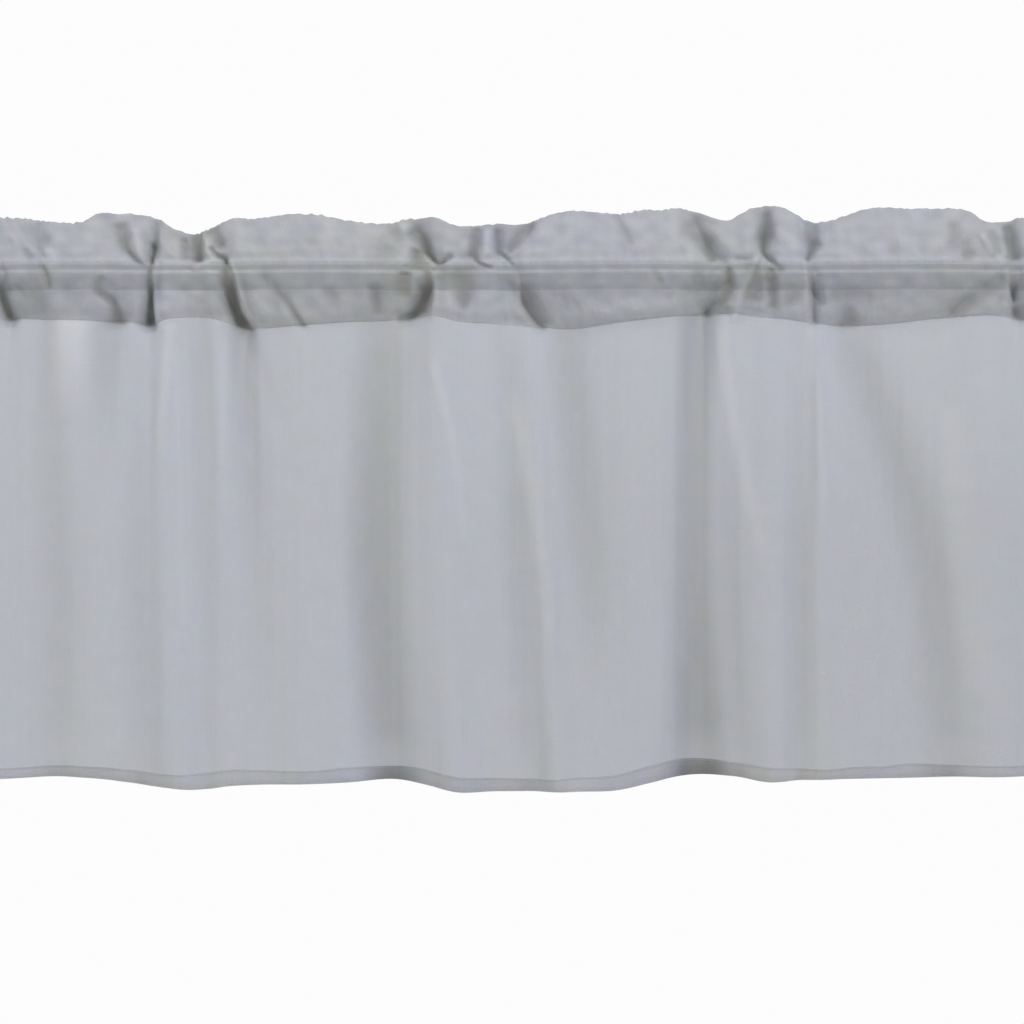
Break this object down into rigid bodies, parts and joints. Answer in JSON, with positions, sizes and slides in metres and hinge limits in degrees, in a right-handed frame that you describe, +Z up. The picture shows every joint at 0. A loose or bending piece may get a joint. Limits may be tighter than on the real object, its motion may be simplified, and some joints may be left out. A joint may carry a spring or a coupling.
{
  "type": "window valance on a curtain rod",
  "caption": "Sheer gathered window valance with a ruffled header, a rod pocket and a narrow bottom hem, hanging on a plain round rod.",
  "frame": {"origin": "the middle of the rod, on its axis", "axes": "+X along the rod to the viewer's right, the cloth's front faces -Y, +Z up"},
  "size_m": [0.96, 0.0468, 0.4686],
  "materials": {
    "voile": "fine sheer plain weave, matt",
    "rod_metal": "satin"
  },
  "bodies": {
    "root": {"valance_cloth": "voile", "curtain_rod": "rod_metal"}
  },
  "joints": []
}
